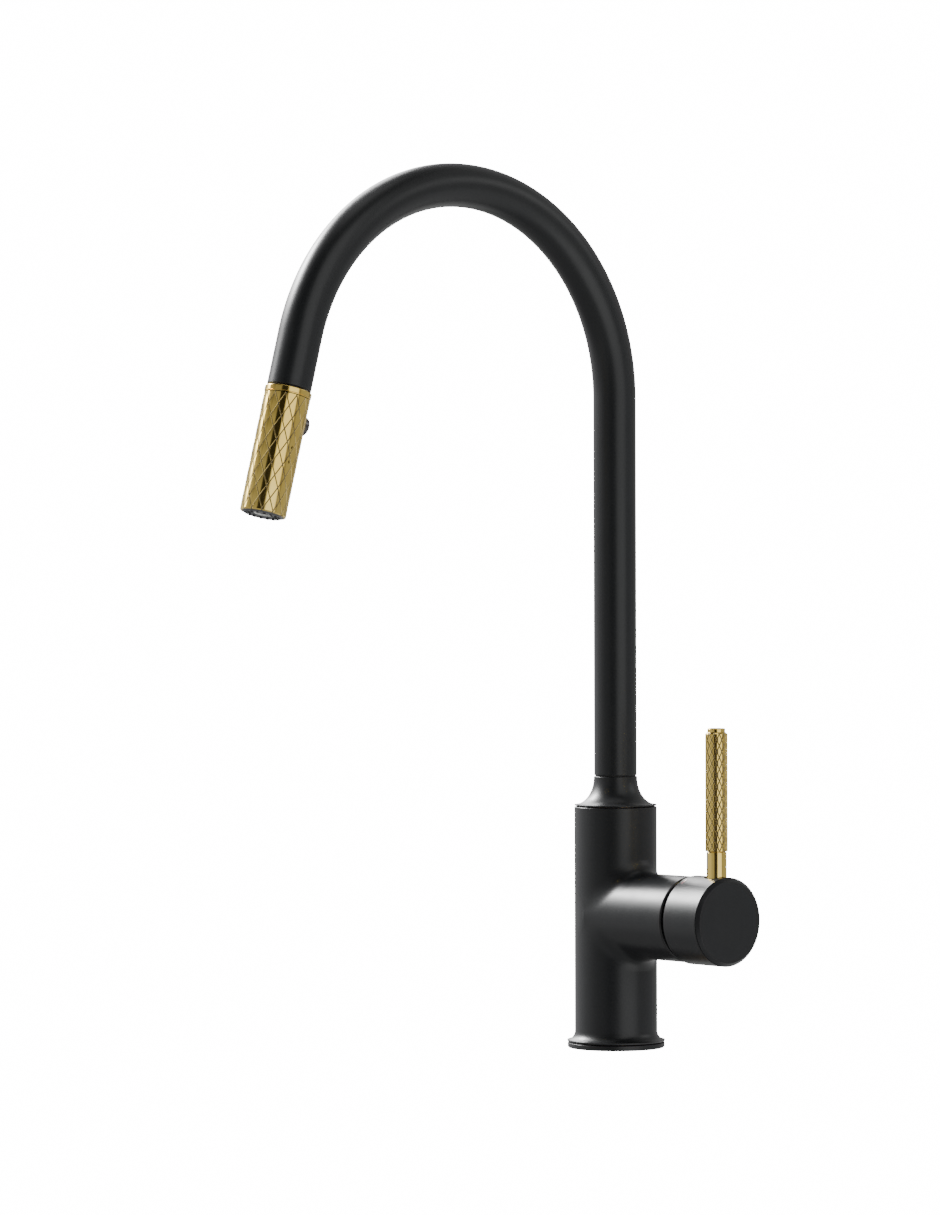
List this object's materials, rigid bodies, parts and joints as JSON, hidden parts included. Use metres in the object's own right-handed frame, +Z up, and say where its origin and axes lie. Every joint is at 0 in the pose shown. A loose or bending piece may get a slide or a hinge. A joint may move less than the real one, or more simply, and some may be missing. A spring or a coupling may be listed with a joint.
{
  "type": "pull-down kitchen faucet",
  "caption": "Deck-mounted mixer faucet with a swivelling gooseneck spout, a pull-down spray head with a diamond pattern, and a side lever on a round barrel.",
  "frame": {"origin": "centre of the base on the deck surface, on the casting's vertical axis", "axes": "+Z up along the casting and the riser, the spout points towards -Y, the handle barrel points towards +X"},
  "size_m": [0.1217, 0.2794, 0.5355],
  "materials": {
    "painted_black": "satin powder coat, near black",
    "polished_gold": "polished, gold-coloured plating",
    "button_black": "gloss, dark",
    "raw_brass": "turned brass",
    "steel": "bright steel",
    "ceramic": "polished alumina ceramic",
    "white_plastic": "moulded",
    "grey_plastic": "moulded, fine texture",
    "black_plastic": "moulded",
    "black_rubber": "matt",
    "hose_nylon": "braided nylon over a rubber core",
    "hot_enamel": "red inlay",
    "cold_enamel": "blue inlay"
  },
  "bodies": {
    "faucet_body": {"valve_body": "painted_black", "base_ring": "painted_black", "base_seal": "black_rubber", "mounting_shank": "raw_brass", "deck_washer_rubber": "black_rubber", "deck_washer_steel": "steel", "mounting_nut": "grey_plastic", "waterway_block": "raw_brass", "cold_inlet_pipe": "steel", "hot_inlet_pipe": "steel", "outlet_pipe": "steel", "cartridge_seal": "black_rubber", "fixed_disc": "ceramic", "cartridge_housing": "white_plastic", "cartridge_nut": "raw_brass", "bonnet_ring": "black_plastic", "swivel_bearing": "white_plastic", "swivel_washer": "black_plastic", "swivel_lock_screw": "steel"},
    "spout": {"spout_tube": "painted_black", "spout_collar": "painted_black", "spout_spigot": "raw_brass", "lower_glide_ring": "white_plastic", "upper_glide_ring": "white_plastic", "hose_guide": "black_plastic", "pull_out_hose": "hose_nylon", "dock_guide": "black_plastic", "dock_magnet": "steel"},
    "hose_end": {"hose_ferrule": "steel", "hose_nut": "raw_brass", "hose_washer": "black_rubber"},
    "spray_head": {"head_sleeve": "polished_gold", "head_top_ring": "polished_gold", "dock_armature": "steel", "head_core": "grey_plastic", "check_valve": "white_plastic", "spray_face": "grey_plastic", "nozzle_mat": "black_rubber", "aerator_insert": "white_plastic", "button_spring": "steel"},
    "spray_button": {"spray_button": "button_black", "diverter_plunger": "white_plastic"},
    "mix_carrier": {"mix_carrier": "grey_plastic", "pivot_pin": "steel"},
    "handle": {"handle_cap": "painted_black", "mixing_spindle": "raw_brass", "lever_stem": "polished_gold", "lever_grip": "polished_gold", "lever_tip": "polished_gold", "handle_grub_screw": "steel", "grub_screw_plug": "black_rubber", "hot_mark": "hot_enamel", "cold_mark": "cold_enamel"},
    "moving_disc": {"moving_disc": "ceramic", "disc_carrier": "white_plastic"}
  },
  "joints": [
    {"name": "spout_swivel", "type": "hinge", "parent": "faucet_body", "child": "spout", "pos_m": [0, 0, 0.13], "axis": [0, 0, 1], "range_deg": [-180, 180]},
    {"name": "head_pull", "type": "slide", "parent": "spout", "child": "hose_end", "axis": [0, -0.2588, -0.9659], "range_m": [0, 0.25]},
    {"name": "head_turn", "type": "hinge", "parent": "hose_end", "child": "spray_head", "pos_m": [0, -0.22358, 0.35113], "axis": [0, -0.2588, -0.9659], "range_deg": [-180, 180]},
    {"name": "button_press", "type": "slide", "parent": "spray_head", "child": "spray_button", "axis": [0, -0.9659, 0.2588], "range_m": [0, 0.002], "stiffness_N_per_m": 400},
    {"name": "handle_temperature", "type": "hinge", "parent": "faucet_body", "child": "mix_carrier", "pos_m": [0.0466, 0, 0.072], "axis": [1, 0, 0], "range_deg": [-45, 45]},
    {"name": "handle_flow", "type": "hinge", "parent": "mix_carrier", "child": "handle", "pos_m": [0.0466, 0, 0.072], "axis": [0, 1, 0], "range_deg": [0, 25]},
    {"name": "disc_slide", "type": "slide", "parent": "mix_carrier", "child": "moving_disc", "axis": [0, 0, 1], "range_m": [0, 0.003]}
  ],
  "couplings": [
    {"joint": "disc_slide", "follows": "handle_flow", "m_per_rad": 0.0064}
  ]
}
